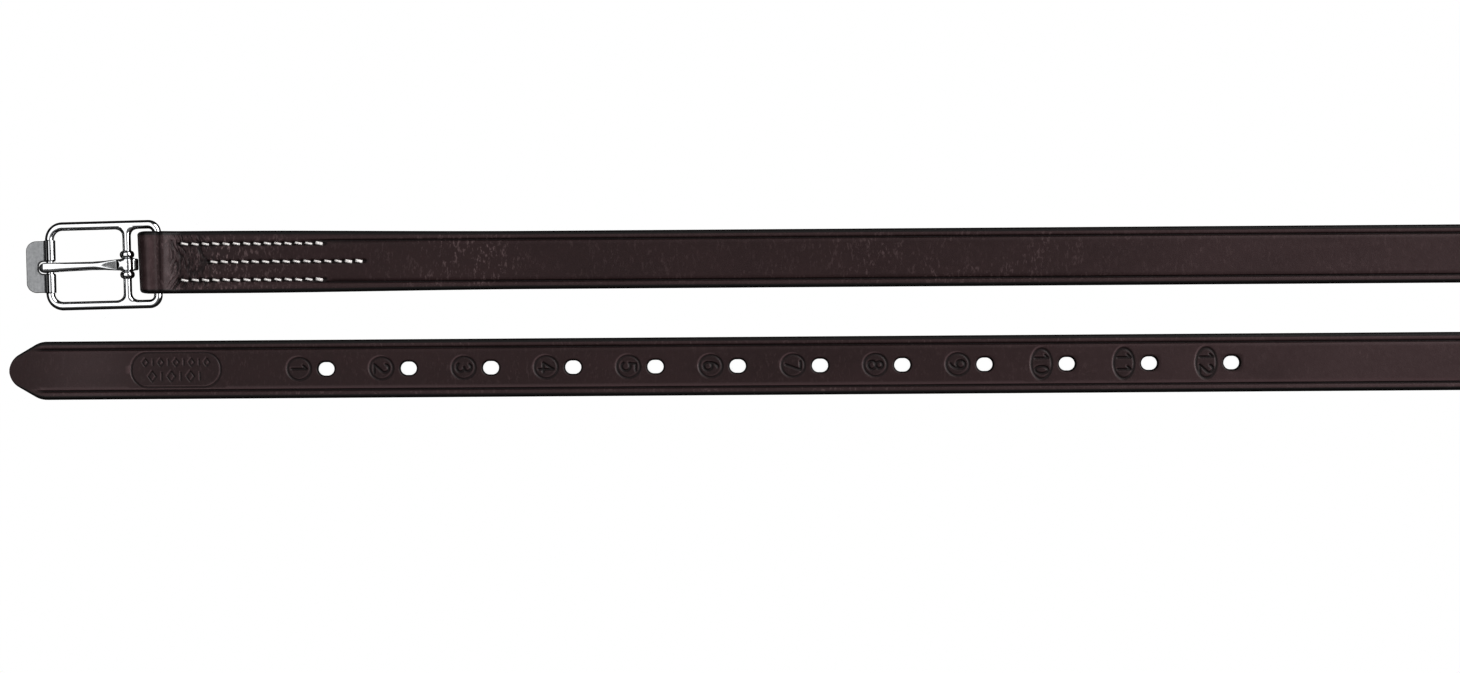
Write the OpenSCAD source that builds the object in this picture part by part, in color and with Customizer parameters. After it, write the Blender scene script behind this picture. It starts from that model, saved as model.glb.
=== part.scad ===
// Stirrup leather, laid out flat: one long strap with a buckle sewn into its folded end and a
// row of twelve oval holes towards its point. X runs along the strap, away from the buckle;
// Z is up; the strap rests on the plane z = 0 and its buckle end is centred on y = 0.

/* [Strap] */
// Width of the leather
strap_w = 25; // [24.5:0.1:25.5]
// Width of the end that is folded and sewn
sewn_w = 26.7; // [25.5:0.1:27]
// Thickness of the leather
strap_t = 3.6; // [3:0.1:4]
// Thickness of the turned-back layer, which is pared down
turnback_t = 2.4; // [2:0.1:3]
// Length along the leather from the fold to the point
strap_length = 1450; // [1400:10:1500]
// Distance between the centre lines of the two straight runs
run_gap = 46.2; // [40:0.1:60]
// X at which both straight runs end and the strap starts to roll onto its edge
run_end = 565; // [560:5:600]
// Radius of the standing U-turn, at the middle of the leather
turn_r = 30; // [28:1:34]
// X of the point of the strap
point_x = -64.1; // [-70:0.1:-60]

/* [Point] */
// Radius of the nose
nose_r = 8.1; // [7:0.1:9]
// Angle between the tapering sides and the strap
taper_angle = 30.5; // [26:0.5:36]
// Radius of the shoulders
shoulder_r = 9.9; // [6:0.1:12]

/* [Holes] */
// Number of holes
hole_count = 12; // [1:1:12]
// X of the hole nearest the point
first_hole_x = 71.95; // [60:0.05:90]
// Distance from hole to hole
hole_pitch = 35.36; // [25:0.01:38]
// Length of a hole along the strap
hole_l = 7; // [6.2:0.1:8]
// Width of a hole
hole_w = 5.8; // [5:0.1:6]

/* [Sewing] */
// Length of one stitch from needle hole to needle hole
stitch_pitch = 4.43; // [4.2:0.01:4.5]
// Diameter of the thread
thread_d = 1.1; // [0.8:0.1:1.2]
// Distance of the outer rows from the middle of the strap
row_y = 7.75; // [6:0.05:9]
// X at which the outer rows start
outer_row_x = 9.7; // [8:0.1:10]
// Stitches in each outer row
outer_row_count = 14; // [8:1:14]
// X at which the middle row starts
middle_row_x = 22.2; // [20:0.1:24]
// Stitches in the middle row
middle_row_count = 15; // [8:1:15]

/* [Buckle] */
// Diameter of the frame's bars
wire_d = 3.7; // [3.2:0.1:3.8]
// Length of the frame between the axes of its front and rear bars
frame_l = 46.5; // [44:0.1:50]
// Width of the frame between the axes of its side bars
frame_w = 34.2; // [34:0.1:38]
// Radius of the front corners at the bar's axis
front_corner_r = 5.6; // [5:0.1:5.7]
// Radius of the rear corners at the bar's axis
rear_corner_r = 3.7; // [3:0.1:3.8]
// Distance of the centre bar's axis in front of the rear bar's axis
centre_bar_x = 13.1; // [13:0.1:15]
// Diameter of the centre bar
centre_bar_d = 3.6; // [3.2:0.1:3.7]
// Diameter of the front bar inside the roller plate
neck_d = 3.2; // [2.8:0.1:3.3]
// Diameter of the two stops beside the tongue
stop_d = 6.2; // [5.6:0.1:6.4]
// Turn of the buckle in the leather loop, seen from above
buckle_yaw = 1.1; // [0:0.1:1.5]
// Sideways place of the buckle in the leather loop
buckle_shift = -0.6; // [-1:0.1:1]

/* [Tongue] */
// Width of the tongue's eye
eye_w = 5.2; // [4.6:0.1:5.3]
// Width of the tongue along its stem
tongue_w = 3.8; // [3.2:0.1:4.2]
// Width of the tongue at its tip
tip_w = 4.1; // [3.4:0.1:4.6]

/* [Roller plate] */
// Outer diameter of the sleeve
sleeve_d = 4.9; // [4.7:0.1:5.3]
// Length of the sleeve along the front bar
sleeve_l = 22.6; // [20:0.1:22.8]
// Reach of the plate from the front bar's axis
plate_reach = 10.4; // [8:0.1:12]
// Thickness of the plate
plate_t = 1.3; // [1:0.1:1.5]
// Width of the notch that the tongue's tip rests in
notch_w = 6.3; // [5.8:0.1:7]
// Reach of the notch from the front bar's axis
notch_reach = 5.35; // [5.3:0.05:5.6]

/* [Hidden] */
$fn = 48;
eps = 1;                                  // overlap of solids that are joined into one
running_gap = 0.05;                       // radial clearance of a hinge
loop_play = 0.13;                         // slack above and below the rear bar in the leather loop
wire_r = wire_d / 2;
fold_x = -7.95;                           // foremost point of the fold
cavity_h = wire_d + 2 * loop_play;        // height of the space inside the fold
fold_h = strap_t + cavity_h + turnback_t; // height of the fold
fold_cx = fold_x + fold_h / 2;            // centre of the fold's round front
cavity_front = fold_x + strap_t;
cavity_rear = wire_r + 0.5;
bar_z = turnback_t + cavity_h / 2;        // height of the rear bar's axis
fold_back = [4, 12];                      // X over which the top comes down behind the bar
skive = [45, 97];                         // X over which the turned-back layer thins out
taper = [30, 160];                        // X over which the sewn width narrows to the strap's
run_mid_y = -run_gap / 2;
turn_shift = turn_r - run_gap / 2;        // how far each run moves outwards before the U-turn
roll_length = (strap_length - (run_end - fold_x) - (run_end - point_x) - PI * turn_r) / 2;
roll_steps = 24;
turn_steps = 24;
tilt = asin((bar_z - sleeve_d / 2) / frame_l);  // the frame slopes down to rest on the sleeve
hole_arc = hole_l - hole_w;               // distance between the centres of a hole's round ends
leather = [0.20, 0.15, 0.16];
thread = [0.93, 0.91, 0.87];
polished = [0.80, 0.81, 0.83];
satin = [0.64, 0.65, 0.66];

// Eases from 0 to 1 as u goes from 0 to 1
function ease(u) = u <= 0 ? 0 : u >= 1 ? 1 : u * u * (3 - 2 * u);
// Eases from 0 to 1 as x crosses a span [start, end]
function across(x, span) = ease((x - span[0]) / (span[1] - span[0]));
// Points of an arc about c from angle a to angle b, in n steps
function arc(c, r, a, b, n) =
    [for (i = [0 : n]) c + r * [cos(a + (b - a) * i / n), sin(a + (b - a) * i / n)]];
// Places at equal steps over a span
function steps(span, n) = [for (i = [0 : n]) span[0] + (span[1] - span[0]) * i / n];

// Height of the buckle run's upper face, behind the fold
function top_z(x) =
    strap_t + turnback_t * (1 - across(x, skive))
    + (fold_h - strap_t - turnback_t) * (1 - across(x, fold_back));
// Half width of the buckle run
function half_w(x) = (sewn_w + (strap_w - sewn_w) * across(x, taper)) / 2;

// Side view of the buckle run: fold, turned-back layer and single strap
module run_profile() {
    top_x = concat([run_end], steps([skive[1], skive[0]], 13), steps([fold_back[1], fold_back[0]], 8));
    difference() {
        polygon(concat(
            [for (x = top_x) [x, top_z(x)]],
            arc([fold_cx, fold_h / 2], fold_h / 2, 90, 270, 24),
            [[run_end, 0]]
        ));
        for (x = [cavity_front + cavity_h / 2, cavity_rear - cavity_h / 2])
            translate([x, bar_z]) circle(d = cavity_h);
        translate([cavity_front + cavity_h / 2, turnback_t])
            square([cavity_rear - cavity_front - cavity_h, cavity_h]);
    }
}

module buckle_run() {
    side_x = concat([fold_x - eps], steps(taper, 12), [run_end]);
    intersection() {
        rotate([90, 0, 0]) linear_extrude(height = 2 * sewn_w, center = true) run_profile();
        translate([0, 0, -eps]) linear_extrude(height = fold_h + 2 * eps) polygon(concat(
            [for (x = side_x) [x, half_w(x)]],
            [for (i = [len(side_x) - 1 : -1 : 0]) [side_x[i], -half_w(side_x[i])]]
        ));
    }
}

// Upper half of the pointed end's outline, from the tip to where the sides are straight
function point_outline() =
    let (
        nose_end = nose_r * [1 - sin(taper_angle), cos(taper_angle)],
        shoulder_y = strap_w / 2 - shoulder_r * (1 - cos(taper_angle)),
        shoulder_x = nose_end[0] + (shoulder_y - nose_end[1]) / tan(taper_angle),
        shoulder_c = [shoulder_x + shoulder_r * sin(taper_angle), strap_w / 2 - shoulder_r]
    )
    concat(
        arc([nose_r, 0], nose_r, 180, 90 + taper_angle, 10),
        arc(shoulder_c, shoulder_r, 90 + taper_angle, 90, 6)
    );

module hole_cutter() {
    for (side = [-1, 1])
        translate([side * hole_arc / 2, 0, -eps]) cylinder(h = strap_t + 2 * eps, d = hole_w);
    translate([-hole_arc / 2, -hole_w / 2, -eps]) cube([hole_arc, hole_w, strap_t + 2 * eps]);
}

module point_run() {
    outline = point_outline();
    run_l = run_end - point_x;
    translate([0, -run_gap, 0]) difference() {
        translate([point_x, 0, 0]) linear_extrude(height = strap_t) polygon(concat(
            outline,
            [[run_l, strap_w / 2], [run_l, -strap_w / 2]],
            [for (i = [len(outline) - 1 : -1 : 1]) [outline[i][0], -outline[i][1]]]
        ));
        for (i = [0 : hole_count - 1])
            translate([first_hole_x + i * hole_pitch, 0, 0]) hole_cutter();
    }
}

// One section of the strap: its centre, the direction of its width and that of its grain side.
// On a run that rolls onto its outer edge, side is 1 on the buckle's run and -1 on the other.
function rolling_section(u, side) =
    let (roll = 90 * ease(u), w = [0, side * cos(roll), -sin(roll)], g = [0, side * sin(roll), cos(roll)])
    [
        [
            run_end + roll_length * u,
            run_mid_y + side * (run_gap / 2 + turn_shift * ease(u)),
            (strap_w * sin(roll) + strap_t * cos(roll)) / 2,
        ],
        w, g,
    ];
function turning_section(a) =
    let (out = [cos(a), sin(a), 0])
    [
        [run_end + roll_length, run_mid_y, strap_w / 2] + turn_r * out,
        [0, 0, -1], out,
    ];
function section_corners(s) =
    [for (c = [[-1, -1], [1, -1], [1, 1], [-1, 1]])
        s[0] + c[0] * strap_w / 2 * s[1] + c[1] * strap_t / 2 * s[2]];
// The same section moved back along X into the straight run, to join the two
function moved_back(s) = [s[0] - [eps, 0, 0], s[1], s[2]];

// The stretch that rolls onto its edge, turns round and rolls flat again
module standing_turn() {
    sections = concat(
        [moved_back(rolling_section(0, 1))],
        [for (i = [0 : roll_steps]) rolling_section(i / roll_steps, 1)],
        [for (i = [1 : turn_steps - 1]) turning_section(90 - 180 * i / turn_steps)],
        [for (i = [roll_steps : -1 : 0]) rolling_section(i / roll_steps, -1)],
        [moved_back(rolling_section(0, -1))]
    );
    n = len(sections);
    polyhedron(
        points = [for (s = sections) each section_corners(s)],
        faces = concat(
            [[0, 1, 2, 3], [for (j = [3 : -1 : 0]) 4 * (n - 1) + j]],
            [for (i = [0 : n - 2], j = [0 : 3], half = [0, 1])
                let (a = 4 * i + j, d = 4 * i + (j + 1) % 4)
                half == 0 ? [a, a + 4, d + 4] : [a, d + 4, d]]
        ),
        convexity = 6
    );
}

module strap() color(leather) {
    buckle_run();
    standing_turn();
    point_run();
}

// One stitch lying along X, round in section and tapering at both ends
module stitch(l) {
    r = thread_d / 2;
    rotate([0, 90, 0]) rotate_extrude($fn = 20) polygon([
        [0, -l / 2], [0.55 * r, -l / 2], [r, -l / 2 + r], [r, l / 2 - r], [0.55 * r, l / 2], [0, l / 2],
    ]);
}

// The needle thread lies on top of the leather and goes down to the middle of the two layers
module needle_thread(x, y, count) color(thread) for (i = [0 : count - 1]) {
    mid = x + (i + 0.5) * stitch_pitch;
    slope = atan((top_z(mid + 1) - top_z(mid - 1)) / 2);
    translate([mid, y, top_z(mid) - 0.1]) rotate([0, -slope, 0]) stitch(stitch_pitch - 0.9);
    translate([mid + stitch_pitch / 2 - 0.75, y, turnback_t / 2])
        cylinder(h = top_z(mid + stitch_pitch / 2) - turnback_t / 2 - 0.2, d = 0.6, $fn = 16);
}

// The bobbin thread lies in the underside and meets the needle thread inside the leather
module bobbin_thread(x, y, count) color(thread) for (i = [0 : count - 1]) {
    mid = x + (i + 0.5) * stitch_pitch;
    translate([mid, y, thread_d / 2]) stitch(stitch_pitch - 0.9);
    translate([mid + stitch_pitch / 2 - 0.75, y, thread_d / 2])
        cylinder(h = turnback_t / 2 - thread_d / 2, d = 0.6, $fn = 16);
}

module needle_thread_upper() needle_thread(outer_row_x, row_y, outer_row_count);
module needle_thread_middle() needle_thread(middle_row_x, 0, middle_row_count);
module needle_thread_lower() needle_thread(outer_row_x, -row_y, outer_row_count);
module bobbin_thread_upper() bobbin_thread(outer_row_x, row_y, outer_row_count);
module bobbin_thread_middle() bobbin_thread(middle_row_x, 0, middle_row_count);
module bobbin_thread_lower() bobbin_thread(outer_row_x, -row_y, outer_row_count);

// Puts the buckle in the leather loop: its rear bar's axis is the local Y axis
module in_loop() translate([0, buckle_shift, bar_z]) rotate([0, -tilt, buckle_yaw]) children();

// A round bar along Y, centred on the X axis
module bar_y(l, d) rotate([90, 0, 0]) cylinder(h = l, d = d, center = true);

// A quarter ring of the frame; x and y point to the corner from the ring's centre
module corner(r, x, y) translate([x[0] + x[1] * r, y * (frame_w / 2 - r), 0])
    rotate([0, 0, x[1] < 0 ? (y > 0 ? 0 : 270) : (y > 0 ? 90 : 180)])
    rotate_extrude(angle = 90) translate([r, 0]) circle(d = wire_d);

module buckle_frame() color(polished) in_loop() {
    bar_y(frame_w - 2 * rear_corner_r, wire_d);
    translate([-frame_l, 0, 0]) bar_y(frame_w - 2 * front_corner_r, neck_d);
    for (side = [-1, 1]) {
        corner(rear_corner_r, [0, -1], side);
        corner(front_corner_r, [-frame_l, 1], side);
        translate([-rear_corner_r, side * frame_w / 2, 0]) rotate([0, -90, 0])
            cylinder(h = frame_l - rear_corner_r - front_corner_r, d = wire_d);
    }
    translate([-centre_bar_x, 0, 0]) {
        bar_y(frame_w, centre_bar_d);
        for (side = [-1, 1]) {
            translate([0, side * (eye_w / 2 + 0.15 + (stop_d - centre_bar_d) / 2), 0]) rotate([90, 0, 0])
                rotate_extrude() translate([centre_bar_d / 2 + 0.05, 0]) circle(d = stop_d - centre_bar_d - 0.1);
            translate([0, side * (frame_w / 2 - 4.2), 0]) rotate([-side * 90, 0, 0])
                cylinder(h = 3.6, d1 = centre_bar_d - 0.2, d2 = 4.5);
        }
    }
}

// Side view of the tongue about the centre bar's axis, tip towards -X
module tongue_profile() {
    front = centre_bar_x - frame_l;  // X of the front bar's axis
    rest_z = neck_d / 2 + running_gap;
    polygon([
        [0, 2.75], [-3, 2.75], [-8, 2.85], [-20, 3.05], [front + 4, rest_z + 1.8], [front, rest_z + 1.85],
        [front - 2.4, rest_z + 1.3], [front - 4, rest_z + 0.6], [front - 4.5, rest_z],
        [front - 4.5, rest_z - 0.7], [front - 4, rest_z - 0.9], [front - 2.6, rest_z - 0.5],
        [front - 1.4, rest_z], [front + 3, rest_z], [-20, 1.1], [-8, 0.5], [-4.5, -0.4], [-2.6, -1.6],
        [-1, -2.55], [0, -2.75], [2, -2.3], [3.7, -1.3], [4.4, 0], [3.7, 1.3], [2, 2.3],
    ]);
}

// Half width of the tongue at each of a few places along it
module tongue_plan() {
    front = centre_bar_x - frame_l;
    half = [
        [5, eye_w / 2], [-3, eye_w / 2], [-5.5, 0.43 * eye_w], [-9, tongue_w / 2], [front + 6, tongue_w / 2],
        [front, tip_w / 2], [front - 3.4, tip_w / 2], [front - 4.2, 0.4 * tip_w], [front - 4.6, 0.2 * tip_w],
    ];
    polygon(concat(half, [for (i = [len(half) - 1 : -1 : 0]) [half[i][0], -half[i][1]]]));
}

module tongue() color(polished) in_loop() translate([-centre_bar_x, 0, 0]) difference() {
    intersection() {
        rotate([90, 0, 0]) linear_extrude(height = 2 * eye_w, center = true) tongue_profile();
        translate([0, 0, -5]) linear_extrude(height = 10) tongue_plan();
    }
    bar_y(2 * eye_w, centre_bar_d + 2 * running_gap);
}

// Plan of the flat plate, with two round corners at its front edge
module plate_plan() {
    r = 4.3;
    w = sleeve_l - 0.4;
    polygon(concat(
        [[0, w / 2]], arc([r - plate_reach, w / 2 - r], r, 90, 180, 8),
        arc([r - plate_reach, r - w / 2], r, 180, 270, 8), [[0, -w / 2]]
    ));
}

module roller_plate() color(satin) in_loop() translate([-frame_l, 0, 0]) difference() {
    union() {
        bar_y(sleeve_l, sleeve_d);
        translate([0, 0, 0.6 - sleeve_d / 2]) linear_extrude(height = plate_t) plate_plan();
    }
    bar_y(2 * sleeve_l, neck_d + 2 * running_gap);
    translate([-notch_reach, -notch_w / 2, -sleeve_d]) cube([notch_reach + sleeve_d, notch_w, 2 * sleeve_d]);
}

strap();
needle_thread_upper();
needle_thread_middle();
needle_thread_lower();
bobbin_thread_upper();
bobbin_thread_middle();
bobbin_thread_lower();
buckle_frame();
tongue();
roller_plate();
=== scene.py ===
"""Looks of a stirrup leather: one leather strap with its sewn buckle end and its numbered holes.

Lengths in this script are millimetres in the CAD model's frame; mesh_piece() turns them into metres.
"""

import math

import bpy
import numpy as np
from mathutils import Matrix, Vector, noise


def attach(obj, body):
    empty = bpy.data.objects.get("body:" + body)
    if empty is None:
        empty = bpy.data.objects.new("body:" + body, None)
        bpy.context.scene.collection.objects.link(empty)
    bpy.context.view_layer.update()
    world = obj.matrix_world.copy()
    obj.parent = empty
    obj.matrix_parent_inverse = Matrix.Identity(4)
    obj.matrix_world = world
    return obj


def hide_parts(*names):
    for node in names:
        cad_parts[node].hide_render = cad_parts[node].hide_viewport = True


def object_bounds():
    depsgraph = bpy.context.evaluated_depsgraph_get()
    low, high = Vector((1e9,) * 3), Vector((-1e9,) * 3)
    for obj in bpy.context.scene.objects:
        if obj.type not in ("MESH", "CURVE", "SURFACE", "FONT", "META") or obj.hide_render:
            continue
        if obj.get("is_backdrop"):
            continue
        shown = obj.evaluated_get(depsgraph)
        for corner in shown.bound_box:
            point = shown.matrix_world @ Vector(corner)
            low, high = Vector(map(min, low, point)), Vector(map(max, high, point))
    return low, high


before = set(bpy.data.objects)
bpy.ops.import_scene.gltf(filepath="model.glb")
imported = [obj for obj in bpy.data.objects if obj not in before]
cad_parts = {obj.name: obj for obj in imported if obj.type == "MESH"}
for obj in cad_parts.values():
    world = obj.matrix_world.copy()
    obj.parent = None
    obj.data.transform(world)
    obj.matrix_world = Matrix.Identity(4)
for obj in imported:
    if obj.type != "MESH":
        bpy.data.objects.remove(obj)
cad_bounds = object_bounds()
MM = 0.001

# ---------------------------------------------------------------- sizes, as in the CAD model where not noted
STRAP_W, SEWN_W, STRAP_T, TURNBACK_T = 25.0, 26.7, 3.6, 2.4
STRAP_LENGTH, RUN_GAP, RUN_END, TURN_R, POINT_X = 1450.0, 46.2, 565.0, 30.0, -64.1
NOSE_R, TAPER_ANGLE, SHOULDER_R = 8.1, math.radians(30.5), 9.9
HOLE_COUNT, FIRST_HOLE_X, HOLE_PITCH, HOLE_L, HOLE_W = 12, 71.95, 35.36, 7.0, 5.8
STITCH_PITCH, THREAD_D, ROW_Y = 4.43, 1.1, 7.75
# X of the first needle hole, Y, and number of stitches
ROWS = {"upper": (9.7, ROW_Y, 14), "middle": (22.2, 0.0, 15), "lower": (9.7, -ROW_Y, 14)}
WIRE_R, FRAME_L, FRAME_W, CENTRE_BAR_X, CENTRE_BAR_R, NECK_R = 1.85, 46.5, 34.2, 13.1, 1.8, 1.6
FRONT_CORNER_R, REAR_CORNER_R, STOP_R = 5.6, 3.7, 3.1
STOP_W = 3.1                  # a little more than in the CAD model
BUCKLE_YAW, BUCKLE_SHIFT, LOOP_PLAY, RUNNING_GAP = math.radians(1.1), -0.6, 0.13, 0.05
EYE_W, EYE_R = 5.2, 2.75
HEEL_X, HEEL_Z, HEEL_R = 2.85, -0.85, 1.8       # the tongue's end behind its eye, here only
FACET_AT, FACET_Z = 4.5, 1.85 # the lowest place of the hollow in front of the eye, here only
TONGUE_LEAN, NOTCH_Y = 0.016, -0.4   # here the tongue lies a little askew, and the notch with it
SLEEVE_R, SLEEVE_L, PLATE_REACH, PLATE_T = 2.45, 22.6, 10.4, 1.3
NOTCH_W, NOTCH_REACH = 5.1, 5.05     # a little less than in the CAD model
SEAM_X = -0.65                # where the rolled sheet of the sleeve closes, beside the top of the bar

FOLD_X = -7.95
FOLD_LEAN = 0.045             # how far the fold's front slants here, as the buckle does
CAVITY_H = 2 * WIRE_R + 2 * LOOP_PLAY
FOLD_H = STRAP_T + CAVITY_H + TURNBACK_T
FOLD_CX = FOLD_X + FOLD_H / 2
BAR_Z = TURNBACK_T + CAVITY_H / 2
FOLD_BACK, SKIVE, WIDTH_TAPER = (4, 12), (45, 97), (30, 160)
RUN_MID_Y = -RUN_GAP / 2
TURN_SHIFT = TURN_R - RUN_GAP / 2
ROLL_LENGTH = (STRAP_LENGTH - (RUN_END - FOLD_X) - (RUN_END - POINT_X) - math.pi * TURN_R) / 2
TILT = math.asin((BAR_Z - SLEEVE_R) / FRAME_L)


def ease(u):
    """0 to 1 with level ends as u goes from 0 to 1."""
    u = np.clip(u, 0, 1)
    return u * u * (3 - 2 * u)


def across(x, span):
    return ease((x - span[0]) / (span[1] - span[0]))


def bell(x, centre, width):
    return np.exp(-(((x - centre) / width) ** 2))


# ---------------------------------------------------------------- making pieces
def mesh_piece(name, points_mm, faces, normals=None):
    """A smooth-shaded mesh object from points in millimetres."""
    mesh = bpy.data.meshes.new(name)
    mesh.from_pydata((np.asarray(points_mm) * MM).tolist(), [], [list(f) for f in faces])
    mesh.update()
    mesh.shade_smooth()
    if normals is not None:
        mesh.normals_split_custom_set_from_vertices(normals.tolist())
    piece = bpy.data.objects.new(name, mesh)
    bpy.context.scene.collection.objects.link(piece)
    return piece


def add_piece(piece, body, slot, material, *nodes):
    piece.data.materials.append(material)
    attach(piece, body)
    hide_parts(*nodes)


def point_values(piece, name, values):
    """A named number on each vertex, which the piece's material reads."""
    attribute = piece.data.attributes.new(name, "FLOAT", "POINT")
    attribute.data.foreach_set("value", np.asarray(values, np.float32))


# ---------------------------------------------------------------- solids from distance functions
def surface_of(distance, low, high, step):
    """Points, quads and normals of the surface where distance(points) is 0, inside a box.
    Each cell of a grid that the surface crosses gets one point, which is then moved onto it."""
    shape = [int(math.ceil((h - l) / step)) + 1 for l, h in zip(low, high)]
    axes = [l + step * np.arange(n) for l, n in zip(low, shape)]
    grid = np.stack(np.meshgrid(*axes, indexing="ij"), -1)
    d = distance(grid.reshape(-1, 3)).reshape(shape)
    inside = d < 0
    cells = [n - 1 for n in shape]
    total, count = np.zeros(cells + [3]), np.zeros(cells)

    def corner(a, offset):
        return a[tuple(slice(o, o + c) for o, c in zip(offset, cells))]

    for axis in range(3):
        for near in np.ndindex(2, 2):
            start = np.insert(near, axis, 0)
            end = np.insert(near, axis, 1)
            d0, d1 = corner(d, start), corner(d, end)
            crossed = corner(inside, start) != corner(inside, end)
            t = np.where(crossed, d0 / np.where(crossed, d0 - d1, 1), 0)
            at = corner(grid, start).copy()
            at[..., axis] += t * step
            total += at * crossed[..., None]
            count += crossed
    used = count > 0
    index = np.full(cells, -1)
    index[used] = np.arange(used.sum())
    points = total[used] / count[used][:, None]

    quads = []
    for axis in range(3):
        u, v = (axis + 1) % 3, (axis + 2) % 3
        below = np.take(inside, range(shape[axis] - 1), axis)
        above = np.take(inside, range(1, shape[axis]), axis)
        at = np.argwhere(below != above)
        at = at[(at[:, u] > 0) & (at[:, v] > 0) & (at[:, u] < shape[u] - 1) & (at[:, v] < shape[v] - 1)]
        ring = []
        for du, dv in ((0, 0), (1, 0), (1, 1), (0, 1)):
            cell = at.copy()
            cell[:, u] -= du
            cell[:, v] -= dv
            ring.append(index[tuple(cell.T)])
        quad = np.stack(ring, 1)
        outward = below[tuple(at.T)]
        quads.append(np.where(outward[:, None], quad, quad[:, ::-1]))

    for _ in range(6):
        gradient = slope_of(distance, points)
        size = (gradient ** 2).sum(1, keepdims=True)
        points = points - np.clip(distance(points)[:, None] / np.maximum(size, 0.2), -step, step) * gradient
    gradient = slope_of(distance, points)
    normals = gradient / np.linalg.norm(gradient, axis=1, keepdims=True)
    return points, np.concatenate(quads), normals


def slope_of(distance, points, e=0.004):
    steps = np.eye(3) * e
    return np.stack([(distance(points + s) - distance(points - s)) / (2 * e) for s in steps], 1)


def joined(a, b, k):
    """Union of two distances with a fillet of about k."""
    h = np.maximum(k - np.abs(a - b), 0) / k
    return np.minimum(a, b) - h * h * k / 4


def cut(a, b, k):
    """a without b, with the edge rounded by about k."""
    return -joined(-a, b, k)


def bar_along_y(p, x, z, r, half_l, edge=0.3):
    """A round bar along Y about (x, z), with rounded ends."""
    radial = np.hypot(p[:, 0] - x, p[:, 2] - z) - r + edge
    axial = np.abs(p[:, 1]) - half_l + edge
    outside = np.hypot(np.maximum(radial, 0), np.maximum(axial, 0))
    return np.minimum(np.maximum(radial, axial), 0) + outside - edge


def rounded_box(x, y, centre, half, r):
    """Distance in a plane to a rectangle with round corners."""
    qx, qy = np.abs(x - centre[0]) - half[0] + r, np.abs(y - centre[1]) - half[1] + r
    return np.hypot(np.maximum(qx, 0), np.maximum(qy, 0)) + np.minimum(np.maximum(qx, qy), 0) - r


def slab(outline, z, middle, half_t, edge):
    """A flat plate of the given outline with rounded edges."""
    a, b = outline + edge, np.abs(z - middle) - half_t + edge
    return np.minimum(np.maximum(a, b), 0) + np.hypot(np.maximum(a, 0), np.maximum(b, 0)) - edge


def frame_distance(p):
    """About the rear bar's axis, with the front bar towards -X."""
    x, y, z = p.T
    corner_r = np.where(x < -FRAME_L / 2, FRONT_CORNER_R, REAR_CORNER_R)
    outline = rounded_box(x, y, (-FRAME_L / 2, 0), (FRAME_L / 2, FRAME_W / 2), corner_r)
    x_bar = x + CENTRE_BAR_X
    # the centre bar flows into the sides on their inner side only
    past_side = np.maximum(np.abs(y) - FRAME_W / 2, 0)
    fillet = 0.02 + 3.4 * ease((FRAME_W / 2 + 0.2 - np.abs(y)) / 1.2)
    near = joined(np.abs(outline), np.hypot(x_bar, 2 * past_side), fillet)
    in_plane = (near + np.sqrt(near ** 2 + 0.12)) / 2       # never below 0, where the fillet overshoots
    neck_half = FRAME_W / 2 - FRONT_CORNER_R
    on_neck = across(neck_half - 0.02 - np.abs(y), (0, 0.16)) * (x < 3 - FRAME_L)
    on_bar = ease((FRAME_W / 2 - 2.2 - np.abs(y)) / 1.5) * (np.abs(x_bar) < 6)
    body = np.hypot(in_plane, z) - (WIRE_R + (NECK_R - WIRE_R) * on_neck + (CENTRE_BAR_R - WIRE_R) * on_bar)
    stop_tube = (2 * STOP_R - 2 * CENTRE_BAR_R - 0.1) / 2
    stop_y = (np.abs(y) - EYE_W / 2 - 0.15 - STOP_W / 2) * 2 * stop_tube / STOP_W
    stop = np.hypot(np.hypot(x_bar, z) - CENTRE_BAR_R - 0.05, stop_y) - stop_tube
    return joined(body, stop, 0.35)


def tongue_distance(p):
    """About the centre bar's axis, with the tip towards -X."""
    x, y, z = p.T
    rest_z = NECK_R + RUNNING_GAP
    along = -x
    y = y + TONGUE_LEAN * np.maximum(along - 4, 0)
    z = z - 0.09 * y * across(along, (6, 14))
    low = np.interp(along, [0, 4, 8, 20, 30, 34, 36, 37.9],
                    [-1.5, -0.6, -0.1, 0.5, rest_z - 0.2, rest_z, 1.25, 0.9])
    high = np.interp(along, [0, 4, 8, 20, 30, 33.5, 36, 37.9], [2.7, 2.9, 3.0, 3.2, 3.45, 3.5, 2.95, 2.15])
    half_w = np.interp(along, [0, 3, 6, 9.5, 15, 27, 33, 38], [2.6, 2.6, 2.25, 1.95, 1.8, 1.95, 2.2, 2.2])
    half_t = (high - low) / 2
    section = (np.abs(y / half_w) ** 1.8 + np.abs((z - (high + low) / 2) / half_t) ** 1.8) ** (1 / 1.8)
    stem = (section - 1) * np.minimum(half_t, half_w)
    nose = np.hypot(np.maximum(along - 34.4, 0) / 3.5, y / 2.6) - 1
    stem = -joined(-stem, -nose * 2.2, 0.5)
    facet = FACET_Z + 0.16 * np.maximum(along - FACET_AT, 0) + 0.6 * np.maximum(FACET_AT - along, 0)
    stem = np.maximum(-joined(-stem, facet - z, 0.3), x)
    eye = bar_along_y(p, 0, 0, EYE_R, EYE_W / 2, 0.55)
    heel = bar_along_y(p, HEEL_X, HEEL_Z, HEEL_R, EYE_W / 2 - 0.1, 0.6)
    body = joined(joined(eye, heel, 1.0), stem, 0.6)
    bore = np.hypot(x, z) - CENTRE_BAR_R - RUNNING_GAP
    return cut(body, bore, 0.12)


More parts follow.
